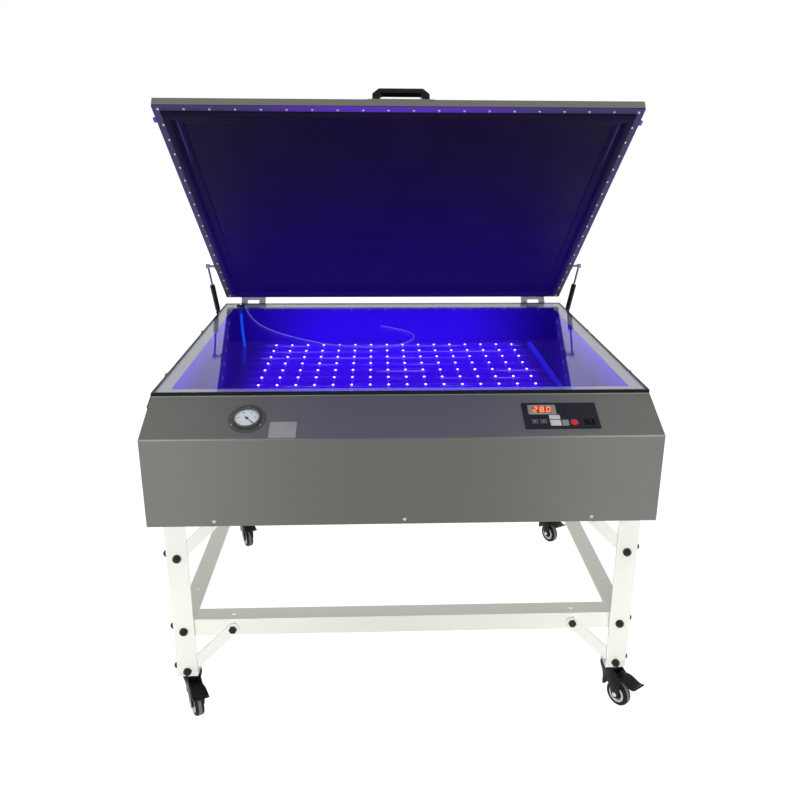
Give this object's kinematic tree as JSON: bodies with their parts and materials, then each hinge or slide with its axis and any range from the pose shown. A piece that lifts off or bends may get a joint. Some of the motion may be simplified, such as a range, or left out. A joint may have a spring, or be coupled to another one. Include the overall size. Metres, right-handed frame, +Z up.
{
  "type": "screen printing exposure unit",
  "caption": "Light-box exposure table with a hinged vacuum blanket lid, glass top, sloping control face and a wheeled steel stand.",
  "frame": {"origin": "on the floor under the middle of the machine", "axes": "+X to the operator's right, +Y to the rear, +Z up; the lid rests open"},
  "size_m": [1.271, 1.2036, 1.5088],
  "materials": {
    "grey_panel": "fine satin powder coat, mid grey",
    "cream_frame": "satin powder coat, cream white",
    "sheet_steel": "plain folded sheet steel",
    "float_glass": "clear polished float glass",
    "black_rubber": "smooth black rubber",
    "tray_reflector": "polished reflector sheet lit deep blue",
    "led_aluminium": "extruded aluminium",
    "led_lens": "clear lens lit violet white",
    "driver_potting": "potted driver body",
    "pump_casting": "cast body",
    "blue_hose": "blue flexible hose",
    "black_plastic": "moulded black plastic",
    "cord_sleeve": "twisted pale cord",
    "gauge_shell": "bright metal case and bezel",
    "gauge_glass": "clear flat lens",
    "needle_black": "black needle",
    "dark_plastic": "dark grey key",
    "white_plastic": "white key",
    "grey_plastic": "grey key",
    "red_plastic": "red key",
    "window_plastic": "dark red window",
    "label_grey": "bare grey label",
    "zinc_steel": "zinc plated",
    "dark_steel": "black oxide",
    "strut_chrome": "polished rod",
    "strut_black": "satin black tube",
    "lid_grey": "grey coated square tube",
    "wheel_tread": "grey nylon and rubber wheel"
  },
  "bodies": {
    "cabinet_and_stand": {"cabinet_front_panel": "grey_panel", "cabinet_sides_and_rear": "grey_panel", "cabinet_floor_pan": "sheet_steel", "deck_frame": "sheet_steel", "exposure_glass": "float_glass", "glass_edge_trim": "black_rubber", "led_tray": "tray_reflector", "led_bars": "led_aluminium", "led_lenses": "led_lens", "led_drivers": "driver_potting", "vacuum_pump": "pump_casting", "vacuum_hose": "blue_hose", "vacuum_port": "black_plastic", "bleeder_cord": "cord_sleeve", "gauge_case": "gauge_shell", "gauge_lens": "gauge_glass", "control_panel": "black_plastic", "display_window": "window_plastic", "label_plate": "label_grey", "cabinet_screws": "zinc_steel", "power_inlet": "black_plastic", "side_brackets": "zinc_steel", "hinge_base_leaves": "dark_steel", "stand_legs": "cream_frame", "stand_rails": "cream_frame", "stand_braces": "cream_frame", "stand_bolts": "dark_steel"},
    "lid": {"lid_frame": "lid_grey", "lid_blanket": "black_rubber", "lid_clamp_strips": "lid_grey", "lid_screws": "zinc_steel", "lid_handle": "black_plastic", "hinge_lid_leaves": "dark_steel", "lid_side_fittings": "zinc_steel"},
    "strut_cylinder_left": {"strut_cylinder_left": "strut_black"},
    "strut_rod_left": {"strut_rod_left": "strut_chrome"},
    "latch_hook_left": {"latch_hook_left": "dark_steel"},
    "strut_cylinder_right": {"strut_cylinder_right": "strut_black"},
    "strut_rod_right": {"strut_rod_right": "strut_chrome"},
    "latch_hook_right": {"latch_hook_right": "dark_steel"},
    "gauge_needle": {"gauge_needle": "needle_black"},
    "key_down": {"key_down": "dark_plastic"},
    "key_up": {"key_up": "dark_plastic"},
    "key_set": {"key_set": "white_plastic"},
    "key_timer": {"key_timer": "white_plastic"},
    "key_vacuum": {"key_vacuum": "grey_plastic"},
    "key_start": {"key_start": "red_plastic"},
    "power_rocker": {"power_rocker": "black_plastic"},
    "caster_fork_front_left": {"caster_fork_front_left": "dark_steel"},
    "caster_wheel_front_left": {"caster_wheel_front_left": "wheel_tread"},
    "caster_brake_front_left": {"caster_brake_front_left": "dark_steel"},
    "caster_fork_front_right": {"caster_fork_front_right": "dark_steel"},
    "caster_wheel_front_right": {"caster_wheel_front_right": "wheel_tread"},
    "caster_brake_front_right": {"caster_brake_front_right": "dark_steel"},
    "caster_fork_rear_left": {"caster_fork_rear_left": "dark_steel"},
    "caster_wheel_rear_left": {"caster_wheel_rear_left": "wheel_tread"},
    "caster_brake_rear_left": {"caster_brake_rear_left": "dark_steel"},
    "caster_fork_rear_right": {"caster_fork_rear_right": "dark_steel"},
    "caster_wheel_rear_right": {"caster_wheel_rear_right": "wheel_tread"},
    "caster_brake_rear_right": {"caster_brake_rear_right": "dark_steel"}
  },
  "joints": [
    {"name": "lid_hinge", "type": "hinge", "parent": "cabinet_and_stand", "child": "lid", "pos_m": [0, 0.585, 0.824], "axis": [1, 0, 0], "range_deg": [0, 39.3]},
    {"name": "strut_swing_left", "type": "hinge", "parent": "cabinet_and_stand", "child": "strut_cylinder_left", "pos_m": [-0.627, 0.55, 0.782], "axis": [1, 0, 0], "range_deg": [0, 40]},
    {"name": "strut_stroke_left", "type": "slide", "parent": "strut_cylinder_left", "child": "strut_rod_left", "axis": [0, -0.5389, 0.8424], "range_m": [-0.037, 0]},
    {"name": "latch_swing_left", "type": "hinge", "parent": "cabinet_and_stand", "child": "latch_hook_left", "pos_m": [-0.611, -0.367, 0.788], "axis": [-1, 0, 0], "range_deg": [0, 110]},
    {"name": "strut_swing_right", "type": "hinge", "parent": "cabinet_and_stand", "child": "strut_cylinder_right", "pos_m": [0.627, 0.55, 0.782], "axis": [1, 0, 0], "range_deg": [0, 40]},
    {"name": "strut_stroke_right", "type": "slide", "parent": "strut_cylinder_right", "child": "strut_rod_right", "axis": [0, -0.5389, 0.8424], "range_m": [-0.037, 0]},
    {"name": "latch_swing_right", "type": "hinge", "parent": "cabinet_and_stand", "child": "latch_hook_right", "pos_m": [0.611, -0.367, 0.788], "axis": [-1, 0, 0], "range_deg": [0, 110]},
    {"name": "gauge_needle_turn", "type": "hinge", "parent": "cabinet_and_stand", "child": "gauge_needle", "pos_m": [-0.364, -0.4884, 0.77453], "axis": [0, -0.4191, 0.908], "range_deg": [0, 270], "stiffness_Nm_per_rad": 0.002},
    {"name": "key_down_press", "type": "slide", "parent": "cabinet_and_stand", "child": "key_down", "axis": [0, 0.4191, -0.908], "range_m": [0, 0.0012], "stiffness_N_per_m": 300},
    {"name": "key_up_press", "type": "slide", "parent": "cabinet_and_stand", "child": "key_up", "axis": [0, 0.4191, -0.908], "range_m": [0, 0.0012], "stiffness_N_per_m": 300},
    {"name": "key_set_press", "type": "slide", "parent": "cabinet_and_stand", "child": "key_set", "axis": [0, 0.4191, -0.908], "range_m": [0, 0.0012], "stiffness_N_per_m": 300},
    {"name": "key_timer_press", "type": "slide", "parent": "cabinet_and_stand", "child": "key_timer", "axis": [0, 0.4191, -0.908], "range_m": [0, 0.0012], "stiffness_N_per_m": 300},
    {"name": "key_vacuum_press", "type": "slide", "parent": "cabinet_and_stand", "child": "key_vacuum", "axis": [0, 0.4191, -0.908], "range_m": [0, 0.0012], "stiffness_N_per_m": 300},
    {"name": "key_start_press", "type": "slide", "parent": "cabinet_and_stand", "child": "key_start", "axis": [0, 0.4191, -0.908], "range_m": [0, 0.0012], "stiffness_N_per_m": 300},
    {"name": "power_rocker_tilt", "type": "hinge", "parent": "cabinet_and_stand", "child": "power_rocker", "pos_m": [0.432, -0.50489, 0.76251], "axis": [0, 0.908, 0.4191], "range_deg": [0, 16]},
    {"name": "caster_swivel_front_left", "type": "hinge", "parent": "cabinet_and_stand", "child": "caster_fork_front_left", "pos_m": [-0.536, -0.516, 0.1], "axis": [0, 0, 1], "continuous": true},
    {"name": "caster_roll_front_left", "type": "hinge", "parent": "caster_fork_front_left", "child": "caster_wheel_front_left", "pos_m": [-0.52102, -0.5454, 0.0325], "axis": [0.891, 0.454, 0], "continuous": true},
    {"name": "caster_pedal_front_left", "type": "hinge", "parent": "caster_fork_front_left", "child": "caster_brake_front_left", "pos_m": [-0.52102, -0.5454, 0.077], "axis": [0.891, 0.454, 0], "range_deg": [0, 25]},
    {"name": "caster_swivel_front_right", "type": "hinge", "parent": "cabinet_and_stand", "child": "caster_fork_front_right", "pos_m": [0.536, -0.516, 0.1], "axis": [0, 0, 1], "continuous": true},
    {"name": "caster_roll_front_right", "type": "hinge", "parent": "caster_fork_front_right", "child": "caster_wheel_front_right", "pos_m": [0.55397, -0.54368, 0.0325], "axis": [0.8387, 0.5446, 0], "continuous": true},
    {"name": "caster_pedal_front_right", "type": "hinge", "parent": "caster_fork_front_right", "child": "caster_brake_front_right", "pos_m": [0.55397, -0.54368, 0.077], "axis": [0.8387, 0.5446, 0], "range_deg": [0, 25]},
    {"name": "caster_swivel_rear_left", "type": "hinge", "parent": "cabinet_and_stand", "child": "caster_fork_rear_left", "pos_m": [-0.536, 0.31, 0.1], "axis": [0, 0, 1], "continuous": true},
    {"name": "caster_roll_rear_left", "type": "hinge", "parent": "caster_fork_rear_left", "child": "caster_wheel_rear_left", "pos_m": [-0.52258, 0.27985, 0.0325], "axis": [0.9135, 0.4067, 0], "continuous": true},
    {"name": "caster_pedal_rear_left", "type": "hinge", "parent": "caster_fork_rear_left", "child": "caster_brake_rear_left", "pos_m": [-0.52258, 0.27985, 0.077], "axis": [0.9135, 0.4067, 0], "range_deg": [0, 25]},
    {"name": "caster_swivel_rear_right", "type": "hinge", "parent": "cabinet_and_stand", "child": "caster_fork_rear_right", "pos_m": [0.536, 0.31, 0.1], "axis": [0, 0, 1], "continuous": true},
    {"name": "caster_roll_rear_right", "type": "hinge", "parent": "caster_fork_rear_right", "child": "caster_wheel_rear_right", "pos_m": [0.55149, 0.28086, 0.0325], "axis": [0.8829, 0.4695, 0], "continuous": true},
    {"name": "caster_pedal_rear_right", "type": "hinge", "parent": "caster_fork_rear_right", "child": "caster_brake_rear_right", "pos_m": [0.55149, 0.28086, 0.077], "axis": [0.8829, 0.4695, 0], "range_deg": [0, 25]}
  ],
  "couplings": [
    {"joint": "strut_swing_left", "follows": "lid_hinge", "ratio": 1.0105},
    {"joint": "strut_stroke_left", "follows": "lid_hinge", "m_per_rad": -0.053564},
    {"joint": "strut_swing_right", "follows": "lid_hinge", "ratio": 1.0105},
    {"joint": "strut_stroke_right", "follows": "lid_hinge", "m_per_rad": -0.053564}
  ]
}
